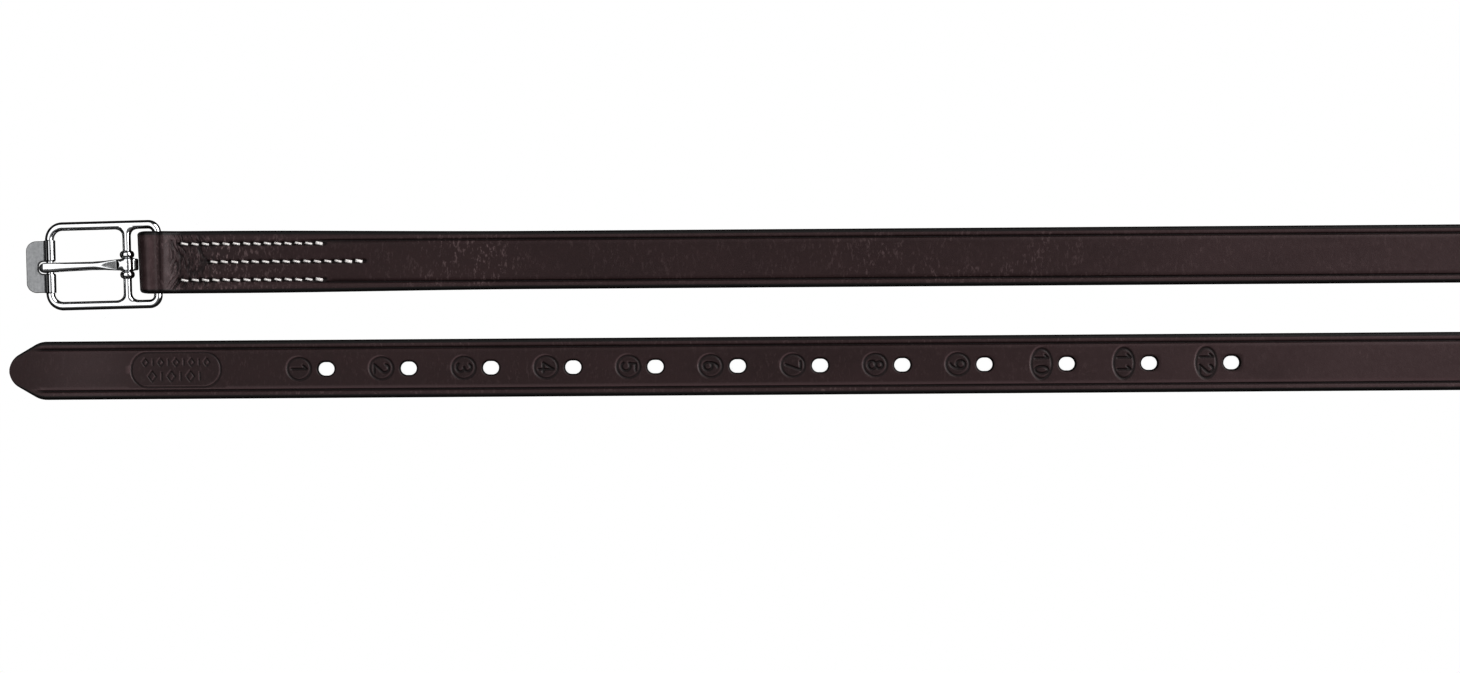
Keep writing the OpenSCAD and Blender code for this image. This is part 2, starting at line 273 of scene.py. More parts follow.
def plate_distance(p):
    """About the front bar's axis, with the plate towards -X."""
    x, y, z = p.T
    low = 0.6 - SLEEVE_R
    outline = rounded_box(x, y, (-PLATE_REACH / 2 + 3, 0), (PLATE_REACH / 2 + 3, SLEEVE_L / 2 - 0.2), 4.3)
    outline = np.maximum(outline, x)
    tab = slab(outline, z, low + PLATE_T / 2, PLATE_T / 2, 0.35)
    sleeve = bar_along_y(p, 0, 0, SLEEVE_R, SLEEVE_L / 2, 0.3)
    body = joined(tab, sleeve, 0.6)
    notch = rounded_box(x, y, (2, NOTCH_Y), (2 + NOTCH_REACH, NOTCH_W / 2), 1.9)
    body = cut(body, notch, 0.9)
    seam = np.hypot(x - SEAM_X, z - math.sqrt(SLEEVE_R ** 2 - SEAM_X ** 2)) - 0.4
    body = cut(body, seam, 0.25)
    return cut(body, np.hypot(x, z) - NECK_R - RUNNING_GAP, 0.1)


def in_loop(x):
    """The matrix, in millimetres, that puts a buckle part whose axis is at local x in its place."""
    turn = Matrix.Rotation(BUCKLE_YAW, 4, "Z") @ Matrix.Rotation(-TILT, 4, "Y")
    return Matrix.Translation((0, BUCKLE_SHIFT, BAR_Z)) @ turn @ Matrix.Translation((x, 0, 0))


def steel_piece(name, distance, low, high, step, at_x):
    local, quads, normals = surface_of(distance, low, high, step)
    place = np.array(in_loop(at_x))
    points = local @ place[:3, :3].T + place[:3, 3]
    return mesh_piece(name, points, quads, normals @ place[:3, :3].T), local


# ---------------------------------------------------------------- the strap's path
def top_z(x):
    return (STRAP_T + TURNBACK_T * (1 - across(x, SKIVE))
            + (FOLD_H - STRAP_T - TURNBACK_T) * (1 - across(x, FOLD_BACK)))


def half_width(x):
    return (SEWN_W + (STRAP_W - SEWN_W) * across(x, WIDTH_TAPER)) / 2


def fold_bulge(x):
    """How far the loose fold stands proud of a plain curve: a bulge on each side of the rear bar."""
    settle = (FOLD_H - STRAP_T - TURNBACK_T) * (across(x, FOLD_BACK) - across(x, (2.2, 10.6)))
    return settle + 0.5 * bell(x, -3.6, 2.3) - 0.62 * bell(x, 0.9, 1.05) + 0.28 * bell(x, 2.9, 1.3)


def point_half_width(along):
    """Half width of the pointed end at a distance from its tip."""
    s, c = math.sin(TAPER_ANGLE), math.cos(TAPER_ANGLE)
    nose_x, nose_y = NOSE_R * (1 - s), NOSE_R * c
    shoulder_y = STRAP_W / 2 - SHOULDER_R * (1 - c)
    shoulder_x = nose_x + (shoulder_y - nose_y) / math.tan(TAPER_ANGLE)
    end_x = shoulder_x + SHOULDER_R * s
    if along < nose_x:
        return math.sqrt(max(0, NOSE_R ** 2 - (NOSE_R - along) ** 2))
    if along < shoulder_x:
        return nose_y + (along - nose_x) * math.tan(TAPER_ANGLE)
    if along < end_x:
        return STRAP_W / 2 - SHOULDER_R + math.sqrt(SHOULDER_R ** 2 - (end_x - along) ** 2)
    return STRAP_W / 2


# The stretches of the strap, from its cut end to its point
UNDER, FOLD, SEWN, TURN, POINT = range(5)
LAYER_GAP = 0.03              # kept between the sewn layers
SKIVED_FROM, CUT_END_X = 71.0, 91.6   # where the turned-back layer starts to close in, and where it ends


def path_stations():
    """Stations along the strap: the middle of the grain side, the axes across the strap and out of the
    grain side, the thickness, half the width, and the stretch."""
    return [*under_stations(), *fold_stations(), *sewn_stations(), *turn_stations(), *point_stations()]


def under_stations():
    """The turned-back layer, from its cut end to the fold."""
    xs = [np.linspace(CUT_END_X, SKIVED_FROM, 10), np.linspace(68, FOLD_CX + 1, 20)]
    for x in np.concatenate(xs):
        t = max(0.15, min(TURNBACK_T, top_z(x) - STRAP_T) if x > FOLD_BACK[1] else TURNBACK_T)
        closing = np.clip((x - SKIVED_FROM) / (CUT_END_X - SKIVED_FROM), 0, 1)
        half = half_width(x) * (1 - 0.93 * closing)
        yield (x, 0, 0), (0, 1, 0), (0, 0, -1), t - LAYER_GAP, half, UNDER


def fold_stations():
    """Round the rear bar, from below to above."""
    first, last = 270, 96
    for a in np.linspace(first, last, 26):
        r, c, s = FOLD_H / 2, math.cos(math.radians(a)), math.sin(math.radians(a))
        t = TURNBACK_T + (STRAP_T - TURNBACK_T) * ease((first - a) / (first - last)) - LAYER_GAP
        x = FOLD_CX + r * c
        lift = fold_bulge(x) * max(0, s)
        half = half_width(x) - 0.35 * max(0, -c) ** 4
        yield (x, 0, r + (r + lift) * s), (0, 1, 0), (c, 0, s), t, half, FOLD


def sewn_stations():
    """The buckle's run, from the fold to where it starts to roll onto its edge."""
    near, sewn, plain = np.linspace(FOLD_CX, 12, 26), np.linspace(12, 97, 63), np.linspace(97, RUN_END, 60)
    for x in np.concatenate([near[1:], sewn[1:], plain[1:]]):
        slope = (top_z(x + 0.2) + fold_bulge(x + 0.2) - top_z(x - 0.2) - fold_bulge(x - 0.2)) / 0.4
        n = math.hypot(1, slope)
        t = STRAP_T - LAYER_GAP - 0.35 * bell(x, 0.9, 1.6)
        yield (x, 0, top_z(x) + fold_bulge(x)), (0, 1, 0), (-slope / n, 0, 1 / n), t, half_width(x), SEWN


def roll_stations(side, shares):
    """A quarter roll between a flat run, on the given side, and the turn."""
    for u in shares:
        roll, shift = math.pi / 2 * float(ease(u)), RUN_GAP / 2 + TURN_SHIFT * float(ease(u))
        c, s = math.cos(roll), math.sin(roll)
        grain = np.array((0, side * s, c))
        middle_z = (STRAP_W * s + STRAP_T * c) / 2
        middle = np.array((RUN_END + ROLL_LENGTH * u, RUN_MID_Y + side * shift, middle_z))
        yield middle + grain * STRAP_T / 2, (0, side * c, -s), grain, STRAP_T, STRAP_W / 2, TURN


def turn_stations():
    """The strap rolls onto its edge, turns back, and rolls flat again."""
    shares = np.linspace(0, 1, 31)
    yield from roll_stations(1, shares[1:])
    turn_middle = np.array((RUN_END + ROLL_LENGTH, RUN_MID_Y, STRAP_W / 2))
    for a in np.linspace(90, -90, 31)[1:-1]:
        grain = np.array((math.cos(math.radians(a)), math.sin(math.radians(a)), 0))
        yield turn_middle + (TURN_R + STRAP_T / 2) * grain, (0, 0, -1), grain, STRAP_T, STRAP_W / 2, TURN
    yield from roll_stations(-1, shares[::-1])


def point_stations():
    """The pointed run, from the turn to the tip."""
    for x in point_run_x():
        half = max(point_half_width(x - POINT_X), 0.9)
        yield (x, -RUN_GAP, STRAP_T), (0, -1, 0), (0, 0, 1), STRAP_T, half, POINT


CELL = HOLE_PITCH / 26        # the strap's grid near the holes: 26 cells from hole to hole
HOLE_CELLS = (4, 3)           # half the block of cells that holds a hole, along and across the strap
LATTICE_CELLS = (6, 62)       # cells of that grid past the last hole, and on the point's side of the first
TAPERED = 24                  # length of the pointed end whose stations crowd towards the tip
HOLE_X = [FIRST_HOLE_X + k * HOLE_PITCH for k in range(HOLE_COUNT)]


def point_run_x():
    lattice_end = HOLE_X[-1] + LATTICE_CELLS[0] * CELL
    lattice_start = HOLE_X[0] - LATTICE_CELLS[1] * CELL
    cells = round((lattice_end - lattice_start) / CELL)
    tip = POINT_X + TAPERED * (1 - np.cos(np.linspace(math.pi / 2, 0.045, 26)))
    return np.concatenate([
        np.linspace(RUN_END, lattice_end, 14)[1:-1], lattice_end - CELL * np.arange(cells + 1),
        np.linspace(lattice_start, POINT_X + TAPERED, 14)[1:-1], tip,
    ])


# Columns of the grid across the strap, as distances from its middle on a 25 mm strap.
GRAIN_EDGE, FLESH_EDGE = 1.3, 0.5     # radii of the rounded edges
CREASE_B = 8.9                # where the pressed line along each edge lies


def edge_arc(r, steps):
    """Columns round an edge: distance from the middle, and drop as a share of the radius."""
    angles = np.linspace(0, math.pi / 2, steps + 1)
    return [(STRAP_W / 2 - r * (1 - math.cos(a)), 1 - math.sin(a)) for a in angles]


crease_columns = [10.5, 9.9, 9.4, 9.15, CREASE_B, 8.65, 8.4]
middle_columns = [k * CELL for k in range(6, 0, -1)]
grain_half = edge_arc(GRAIN_EDGE, 4) + [(b, 0) for b in crease_columns + middle_columns]
flesh_half = edge_arc(FLESH_EDGE, 2) + [(k * CELL, 0) for k in (6, 3, 2, 1)]


def mirrored(half):
    return half + [(0.0, 0)] + [(-b, drop) for b, drop in reversed(half)]


grain_columns = mirrored(grain_half)                     # from +width to -width
flesh_columns = [(-b, drop) for b, drop in mirrored(flesh_half)]
COLUMNS = grain_columns + flesh_columns
COLUMN_B = np.array([c[0] for c in COLUMNS])
COLUMN_DROP = np.array([c[1] for c in COLUMNS])
IS_GRAIN = np.arange(len(COLUMNS)) < len(grain_columns)


# ---------------------------------------------------------------- relief pressed into the grain side
def ellipse(cx, cy, rx, ry, start, end, n=14):
    a = np.radians(np.linspace(start, end, n))
    return [(cx + rx * math.cos(t), cy + ry * math.sin(t)) for t in a]


# Strokes of each digit in a box one unit high, with its middle at the origin
DIGITS = {
    "0": [ellipse(0, 0, 0.27, 0.5, 0, 360, 22)],
    "1": [[(0, -0.5), (0, 0.5), (-0.2, 0.28)]],
    "2": [ellipse(0, 0.22, 0.27, 0.28, 165, -40) + [(-0.28, -0.5), (0.3, -0.5)]],
    "3": [ellipse(-0.02, 0.25, 0.25, 0.25, 150, -90), ellipse(-0.02, -0.24, 0.29, 0.26, 90, -150)],
    "4": [[(0.14, -0.5), (0.14, 0.5), (-0.3, -0.2), (0.32, -0.2)]],
    "5": [[(0.25, 0.5), (-0.2, 0.5), (-0.24, 0.05)] + ellipse(-0.02, -0.18, 0.29, 0.3, 130, -145)],
    "6": [ellipse(0, -0.2, 0.27, 0.29, 0, 360, 20), ellipse(0.12, -0.12, 0.39, 0.62, 175, 100, 8)],
    "7": [[(-0.28, 0.5), (0.28, 0.5), (-0.08, -0.5)]],
    "8": [ellipse(0, 0.25, 0.23, 0.24, 0, 360, 18), ellipse(0, -0.24, 0.28, 0.26, 0, 360, 18)],
    "9": [ellipse(0, 0.2, 0.27, 0.29, 0, 360, 20), ellipse(-0.12, 0.12, 0.39, 0.62, -5, -80, 8)],
}


def stroke_distance(x, y, line):
    """Distance from points to a line of straight pieces."""
    best = np.full(x.shape, 1e9)
    for (x0, y0), (x1, y1) in zip(line, line[1:]):
        dx, dy = x1 - x0, y1 - y0
        t = np.clip(((x - x0) * dx + (y - y0) * dy) / (dx * dx + dy * dy + 1e-12), 0, 1)
        best = np.minimum(best, np.hypot(x - x0 - t * dx, y - y0 - t * dy))
    return best


def groove(distance, half_w):
    return ease(1 - distance / half_w)


STAMP_DISH, RING_DEPTH, DIGIT_DEPTH = 0.13, 0.42, 0.6
ONE_DIGIT_HOLES = 9
STAMP_OFFSET = (11.6, 10.95)  # from a hole to its number, with one digit and with two


def number_stamp(x, y, number):
    """Depth of one number in its ring; x and y are measured from the ring's middle.
    The digits stand with their tops towards +X and read towards -Y."""
    digits = str(number)
    rx, ry, height = (5.0, 4.8, 6.3) if len(digits) == 1 else (4.4, 6.5, 5.6)
    ring = (np.hypot(x / rx, y / ry) - 1) * min(rx, ry)
    depth = STAMP_DISH * ease(0.5 - ring / 0.7) + RING_DEPTH * groove(np.abs(ring), 0.75)
    for k, digit in enumerate(digits):
        offset = 0 if len(digits) == 1 else (2.55 if k == 0 else -2.55)
        across_x, up = -(y - offset) / height, x / height
        for line in DIGITS[digit]:
            mark = groove(stroke_distance(across_x, up, line) * height, 0.8)
            depth = np.maximum(depth, STAMP_DISH * (mark > 0) + DIGIT_DEPTH * mark)
    return depth


CARTOUCHE_X, CARTOUCHE_HALF_L, CARTOUCHE_HALF_W = 7.5, 19.3, 7.6
CARTOUCHE_DISH, CARTOUCHE_DEPTH = 0.06, 0.42
CARTOUCHE_ROWS = ((3.1, 9, 3.3, 1.25), (-2.9, 6, 4.1, 1.7))  # y, number of marks, pitch and half height


def cartouche(x, y):
    """Depth of the pressed badge: a long oval outline with two rows of plain lozenges and bars."""
    outline = rounded_box(x, y, (0, 0), (CARTOUCHE_HALF_L, CARTOUCHE_HALF_W), CARTOUCHE_HALF_W - 0.3)
    depth = CARTOUCHE_DISH * ease(0.5 - outline / 0.8) + CARTOUCHE_DEPTH * groove(np.abs(outline + 0.1), 0.55)
    for row_y, count, pitch, size in CARTOUCHE_ROWS:
        k = np.clip(np.round(x / pitch + (count - 1) / 2), 0, count - 1)
        u, v = x - (k - (count - 1) / 2) * pitch, y - row_y
        lozenge = np.abs(np.abs(u) + np.abs(v) * 0.75 - size) / 1.2
        bar = np.hypot(u, np.maximum(np.abs(v) - size, 0))
        mark = groove(np.where(k % 2 == 0, lozenge, bar), 0.45)
        depth = np.maximum(depth, CARTOUCHE_DISH * (mark > 0) + CARTOUCHE_DEPTH * mark)
    return depth


def noise_at(x, y, layer):
    """Smooth noise of about -1 to 1; each layer has its own pattern."""
    values = [noise.noise(Vector((a, b, layer))) for a, b in zip(np.ravel(x), np.ravel(y))]
    return np.array(values).reshape(np.shape(x))


def unevenness(x, y):
    """The grain side's slow waves."""
    return 0.05 * noise_at(x * 0.045, y * 0.12, 15.0)


def crease_depth(x, y, stretch):
    """The pressed line along each edge of the grain side; y is measured from the strap's middle."""
    fade = np.where(stretch == POINT, across(x, (POINT_X + 8, POINT_X + 16)), 1.0)
    fade = np.where(stretch == SEWN, across(x, (58, 80)), fade)
    fade = np.where((stretch == UNDER) | (stretch == FOLD), 0, fade)
    b = np.abs(y)
    banks = 0.07 * bell(b, CREASE_B - 1.0, 0.6), 0.05 * bell(b, CREASE_B + 0.9, 0.5)
    return fade * (0.7 * bell(b, CREASE_B, 0.42) - banks[0] - banks[1])


def stitch_depth(x, y):
    """A shallow channel along each row of stitches, and a pit at each needle hole."""
    depth = np.zeros_like(x)
    for start, row_y, count in ROWS.values():
        end = start + count * STITCH_PITCH
        on_row = across(x, (start - 1, start + 1)) * (1 - across(x, (end - 1, end + 1)))
        depth += 0.26 * bell(y, row_y, 1.0) * on_row
        k = np.clip(np.round((x - start) / STITCH_PITCH), 0, count)
        pit = np.hypot((x - start - k * STITCH_PITCH) / 1.0, (y - row_y) / 0.65)
        depth += 0.8 * np.exp(-pit ** 2)
    return depth


WRINKLED = (3, 30)            # the stretch of X behind the fold that is wrinkled


def wrinkle_depth(x, y):
    """Fine cross wrinkles, bowed like the fold, where the leather leaves it."""
    near = (x > WRINKLED[0]) & (x < WRINKLED[1])
    depth = np.zeros_like(x)
    xs, ys = x[near], y[near]
    bowed = xs + 0.022 * ys ** 2 + 1.3 * noise_at(xs * 0.12, ys * 0.14, 3.0)
    ridge = 1 - np.abs(2 * noise_at(bowed * 0.6, ys * 0.13, 7.0))
    fine = 1 - np.abs(2 * noise_at(bowed * 1.1, ys * 0.22, 9.0))
    lines = np.clip((ridge - 0.6) / 0.4, 0, 1) ** 1.5 + 0.5 * np.clip((fine - 0.6) / 0.4, 0, 1) ** 1.5
    depth[near] = 0.42 * lines * across(xs, (4, 9)) * (1 - across(xs, (18, WRINKLED[1])))
    return depth


def relief(x, y, stretch):
    """How far the grain side is pressed in, at each x and distance y from the strap's middle."""
    depth = crease_depth(x, y, stretch)
    depth += unevenness(x, y)
    sewn = stretch == SEWN
    depth[sewn] += stitch_depth(x[sewn], y[sewn]) + wrinkle_depth(x[sewn], y[sewn])
    for k, hole_x in enumerate(HOLE_X):
        at_x = hole_x - STAMP_OFFSET[k >= ONE_DIGIT_HOLES]
        near = (stretch == POINT) & (np.abs(x - at_x) < 6) & (np.abs(y) < 7.6)
        depth[near] += number_stamp(x[near] - at_x, y[near], k + 1)
    near = (stretch == POINT) & (np.abs(x - CARTOUCHE_X) < 21) & (np.abs(y) < 8.4)
    depth[near] += cartouche(x[near] - CARTOUCHE_X, y[near])
    return depth


# ---------------------------------------------------------------- the strap's mesh
FINE = 4                      # a refined cell is FINE by FINE
PLAIN, REFINED, HOLE = range(3)
# The wall of a hole, from grain to flesh: how far outside the hole, how high, and how dark it is painted: the
# cut wall dark like the strap's edges, and painted shade on the slope round its rim
HOLE_WALL = [
    (0.95, 0, 0), (0.78, -0.03, 0), (0.58, -0.13, 0.35), (0.38, -0.3, 0.75), (0.2, -0.55, 1),
    (0.07, -0.85, 1), (0, -1.2, 1), (0, -2.3, 1),
    (0, -STRAP_T + 0.25, 1), (0.08, -STRAP_T + 0.07, 1), (0.3, -STRAP_T, 1),
]


def cell_states(station_x, stretch):
    """PLAIN, REFINED or HOLE for each cell between the stations and the columns."""
    state = np.full((len(station_x) - 1, len(COLUMNS)), PLAIN)
    x_mid = (station_x[1:] + station_x[:-1]) / 2
    b_mid = (COLUMN_B + np.roll(COLUMN_B, -1)) / 2
    on_grain = IS_GRAIN & np.roll(IS_GRAIN, -1)

    def mark(on, low, high, columns, value):
        rows = (stretch[1:] == on) & (stretch[:-1] == on) & (x_mid > low) & (x_mid < high)
        state[np.ix_(np.flatnonzero(rows), np.flatnonzero(columns))] = value

    for k, x in enumerate(HOLE_X):
        tall = 5 if k < ONE_DIGIT_HOLES else 6
        mark(POINT, x - 13 * CELL, x - 4 * CELL, on_grain & (np.abs(b_mid) < tall * CELL), REFINED)
    mark(POINT, CARTOUCHE_X - 20.5, CARTOUCHE_X + 20.5, on_grain & (np.abs(b_mid) < 8.4), REFINED)
    mark(SEWN, *WRINKLED, on_grain & (np.abs(b_mid) < 11.3), REFINED)
    for start, row_y, count in ROWS.values():
        end = start + count * STITCH_PITCH
        mark(SEWN, start - 2, end + 2, on_grain & (np.abs(b_mid - row_y) < 2.1), REFINED)
    half_l, half_w = HOLE_CELLS[0] * CELL, HOLE_CELLS[1] * CELL
    for x in HOLE_X:
        mark(POINT, x - half_l, x + half_l, np.abs(b_mid) < half_w, HOLE)
    return state


def grid_faces(state, key):
    """Faces of the cells that hold no hole, and of the strap's two ends. A plain cell's face takes in the
    points that a finer neighbour has on their shared side."""
    rows, m = state.shape
    faces = []
    for i, j in np.ndindex(rows, m):
        if state[i, j] == REFINED:
            for di, dj in np.ndindex(FINE, FINE):
                a, c = i * FINE + di, j * FINE + dj
                faces.append([key(a, c), key(a, c + 1), key(a + 1, c + 1), key(a + 1, c)])
        if state[i, j] == PLAIN:
            corners = [(i, j), (i, j + 1), (i + 1, j + 1), (i + 1, j)]
            beyond = [(i - 1, j), (i, (j + 1) % m), (i + 1, j), (i, (j - 1) % m)]
            face = []
            for e, (ni, nj) in enumerate(beyond):
                (i0, j0), (i1, j1) = corners[e], corners[(e + 1) % 4]
                fine_side = 0 <= ni < rows and state[ni, nj] != PLAIN
                for q in range(FINE if fine_side else 1):
                    face.append(key(i0 * FINE + (i1 - i0) * q, j0 * FINE + (j1 - j0) * q))
            faces.append(face)
    faces.append([key(0, j * FINE) for j in reversed(range(m))])
    faces.append([key(rows * FINE, j * FINE) for j in range(m)])
    return faces


def hole_walls(station_x, stretch, key):
    """The walls of the holes, as loops of points from the grain side's grid to the flesh side's.
    Each point is x, distance from the strap's middle, z and darkness (the cut wall's own, and painted shade
    on the slope round the rim); faces name it ("wall", its place)."""
    hx, hy = HOLE_CELLS
    ux, uy = hx * FINE, hy * FINE
    square = ([(ux, q) for q in range(-uy, uy)] + [(q, uy) for q in range(ux, -ux, -1)]
              + [(-ux, q) for q in range(uy, -uy, -1)] + [(q, -uy) for q in range(-ux, ux)])
    angles = [math.atan2(v / hy, u / hx) for u, v in square]
    grain_zero, flesh_zero = (int(j) for j in np.flatnonzero(COLUMN_B == 0))
    walls, faces = [], []
    for x in HOLE_X:
        row = int(np.argmin(np.where(stretch == POINT, np.abs(station_x - x), 1e9)))
        # rows run towards -X, and the width axis points to -Y
        loops = [[key(row * FINE - u, grain_zero * FINE + v) for u, v in square]]
        for out, z, dark in HOLE_WALL:
            loops.append([("wall", len(walls) + q) for q in range(len(angles))])
            for a in angles:
                c, s = math.cos(a), math.sin(a)
                dx = math.copysign((HOLE_L - HOLE_W) / 2, c) + (HOLE_W / 2 + out) * c
                walls.append((x + dx, (HOLE_W / 2 + out) * s, STRAP_T + z, dark))
        loops.append([key(row * FINE - u, flesh_zero * FINE - v) for u, v in square])
        for upper, lower in zip(loops, loops[1:]):
            for q in range(len(upper)):
                r = (q + 1) % len(upper)
                faces.append([upper[q], upper[r], lower[r], lower[q]])
    return np.array(walls), faces


def grid_blend(at, stations):
    """A function that carries values from the base grid to the points at the given places in it."""
    m = len(COLUMNS)
    i0 = np.minimum(at[:, 0].astype(int), stations - 2)
    j0 = at[:, 1].astype(int) % m
    j1 = (j0 + 1) % m
    fi, fj = at[:, 0] - i0, at[:, 1] - at[:, 1].astype(int)

    def blend(a):
        fi_, fj_ = (fi[:, None], fj[:, None]) if a.ndim == 3 else (fi, fj)
        return ((1 - fi_) * ((1 - fj_) * a[i0, j0] + fj_ * a[i0, j1])
                + fi_ * ((1 - fj_) * a[i0 + 1, j0] + fj_ * a[i0 + 1, j1]))
    return blend


def wear(x, b, stretch, depth, top):
    """How pale the grain is made: on the fold's ridge and the slope behind its hollow, rubbed and partly a
    painted highlight where they catch the light; a painted highlight along the band inside each edge crease;
    paler towards the turn and near the point; a painted highlight on one side of each stamp's grooves; none
    in the relief's hollows.
    """
    # Partly real rubbing, partly painted highlight: the fold's ridge and the slope behind its hollow are
    # painted pale where light would catch them.
    worn_and_highlit = 0.95 * bell(x, -3.2, 2.6) + 0.52 * bell(x, 5.4, 2.9) + 0.16 * bell(x, 18, 10)
    at_fold = ((stretch == SEWN) | (stretch == FOLD)) & top
    worn_and_highlit = np.where(at_fold, worn_and_highlit * (0.75 + 0.5 * noise_at(x * 0.35, b * 0.3, 21.0)), 0)
    # Painted highlight: a pale band between each edge crease and the edge.
    worn_and_highlit += 0.22 * bell(np.abs(b), 10.4, 0.8) * top
    on_point = (stretch == POINT) & top
    worn_and_highlit += (0.26 + 0.1 * on_point) * across(x, (300, 540)) * top + 0.34 * bell(x, -30, 22) * on_point
    # Painted highlight: the rim on one side of each stamp's grooves, where the relief beside it lies deeper,
    # is painted pale as if lit from that side.
    painted_rim_highlight = np.zeros(len(x))
    painted_rim_highlight[on_point] = relief(x[on_point] + 0.45, b[on_point] - 0.45, stretch[on_point]) - depth[on_point]
    worn_and_highlit += 1.6 * np.clip(painted_rim_highlight / 0.4, 0, 1) * (np.abs(b) < 9)
    return np.clip(worn_and_highlit * (1 - np.clip(depth / 0.3, 0, 1)), 0, 1)


def fleck_cover(x, b, stretch):
    """How thick the pale flecks lie."""
    along_runs = 0.22 + 0.8 * bell(x, 131, 20) + 0.9 * bell(x, 22, 26) + 0.25 * bell(x, 345, 60)
    return np.where(stretch == POINT, 0.15 + 0.4 * bell(np.abs(b), 10.5, 0.9), along_runs)


def build_strap():
    stations = path_stations()
    n, m = len(stations), len(COLUMNS)
    centre, width_axis, grain = (np.array([s[k] for s in stations], float) for k in range(3))
    thickness, half = (np.array([s[k] for s in stations], float) for k in (3, 4))
    stretch = np.array([s[5] for s in stations])

    # the base surface, without relief
    edge_r = np.minimum(np.where(IS_GRAIN, GRAIN_EDGE, FLESH_EDGE)[None, :], 0.46 * thickness[:, None])
    b = COLUMN_B[None, :] * (half / (STRAP_W / 2))[:, None]
    h = np.where(IS_GRAIN[None, :], -COLUMN_DROP * edge_r, COLUMN_DROP * edge_r - thickness[:, None])
    base = centre[:, None] + b[..., None] * width_axis[:, None] + h[..., None] * grain[:, None]

    # faces, and the points of the grid that they use
    keys = {}

    def key(i, j):
        return keys.setdefault((i, j % (m * FINE)), len(keys))

    faces = grid_faces(cell_states(centre[:, 0], stretch), key)
    walls, wall_faces = hole_walls(centre[:, 0], stretch, key)
    faces += [[len(keys) + f[1] if isinstance(f, tuple) else f for f in face] for face in wall_faces]

    # what each of those points takes from the base grid around it
    at = np.array(list(keys)) / FINE
    blend = grid_blend(at, n)

    def blend_columns(values):
        return blend(np.broadcast_to(values, (n, m)))

    side = np.sign(width_axis[:, 1] + 0.5 * (width_axis[:, 1] == 0))
    from_middle = blend(b * side[:, None])
    grains = np.stack([np.interp(at[:, 0], np.arange(n), grain[:, k]) for k in range(3)], 1)
    grains /= np.linalg.norm(grains, axis=1, keepdims=True)
    nearest = stretch[np.clip(np.round(at[:, 0]).astype(int), 0, n - 1)]
    is_grain = blend_columns(IS_GRAIN.astype(float))
    top = is_grain > 0.999
    rim = across(np.abs(COLUMN_B), (STRAP_W / 2 - 1.9, STRAP_W / 2 - 1.0))
    near_edge = blend_columns(np.where(IS_GRAIN, rim, 0))

    # relief, and the slant of the fold
    points = blend(base)
    depth = np.zeros(len(points))
    depth[top] = relief(points[top, 0], from_middle[top], nearest[top])
    on_turn = top & (nearest == TURN)
    depth[on_turn] = crease_depth(points[on_turn, 0], from_middle[on_turn], nearest[on_turn])
    depth[top] *= 1 - near_edge[top]
    points = points - depth[:, None] * grains
    on_fold = (points[:, 1] > RUN_MID_Y) * (1 - across(points[:, 0], (-5, 6)))
    points[:, 0] -= FOLD_LEAN * points[:, 1] * on_fold

    wall_points = walls[:, :3]
    wall_points[:, 2] -= unevenness(wall_points[:, 0], wall_points[:, 1])
    wall_points[:, 1] -= RUN_GAP
    strap = mesh_piece("leather_strap", np.concatenate([points, wall_points]), faces)

    # what the leather's material reads
    edge = np.maximum(near_edge, (is_grain < 0.999) & (is_grain > 0.001))
    edge = np.maximum(edge, blend_columns(np.where(np.abs(COLUMN_B) > STRAP_W / 2 - 0.6, 1.0, 0.0)))
    # The dyed edges, and the holes' walls with painted shade on the slopes round their rims.
    point_values(strap, "edge", np.append(edge, walls[:, 3]))
    for name, values in (
        ("flesh", (1 - is_grain) * (1 - edge)),
        # painted shade: the deeper the relief is pressed in, the darker it is painted
        ("pressed", np.clip(depth / 0.5, 0, 1)),
        ("flecked", fleck_cover(points[:, 0], from_middle, nearest)),
        # rubbed paleness, and painted highlights on the fold, the edge bands and one side of the stamps'
        # grooves
        ("worn_and_highlit", wear(points[:, 0], from_middle, nearest, depth, top)),
    ):
        point_values(strap, name, np.append(values, np.zeros(len(walls))))
    return strap


# ---------------------------------------------------------------- thread
def twisted_stitch(start, end, sag_in, plies=3, sides=7, steps=16):
    """Points and faces of one stitch: plies laid round each other, dipping into the leather at both ends."""
    start, end = np.array(start, float), np.array(end, float)
    along = end - start
    length = np.linalg.norm(along)
    t = along / length
    up = np.array((0.0, 0.0, 1.0))
    left = np.cross(up, t)
    left /= np.linalg.norm(left)
    up = np.cross(t, left)
    ply_r, lay_r, pitch = THREAD_D * 0.27, THREAD_D * 0.23, 2.1
    points, faces = [], []
    for ply in range(plies):
        first = len(points)
        for k in range(steps + 1):
            u = k / steps
            dip = -sag_in * (abs(2 * u - 1) ** 3.2)
            a = 2 * math.pi * (u * length / pitch + ply / plies)
            middle = start + along * u + up * dip + lay_r * (math.cos(a) * left + math.sin(a) * up)
            r = ply_r * (1 - 0.25 * abs(2 * u - 1) ** 6)
            for q in range(sides):
                b = 2 * math.pi * q / sides
                points.append(middle + r * (math.cos(b) * left + math.sin(b) * up))
        for k in range(steps):
            for q in range(sides):
                r0, r1 = first + k * sides, first + (k + 1) * sides
                faces.append([r0 + q, r0 + (q + 1) % sides, r1 + (q + 1) % sides, r1 + q])
        faces.append([first + q for q in reversed(range(sides))])
        faces.append([first + steps * sides + q for q in range(sides)])
    return points, faces


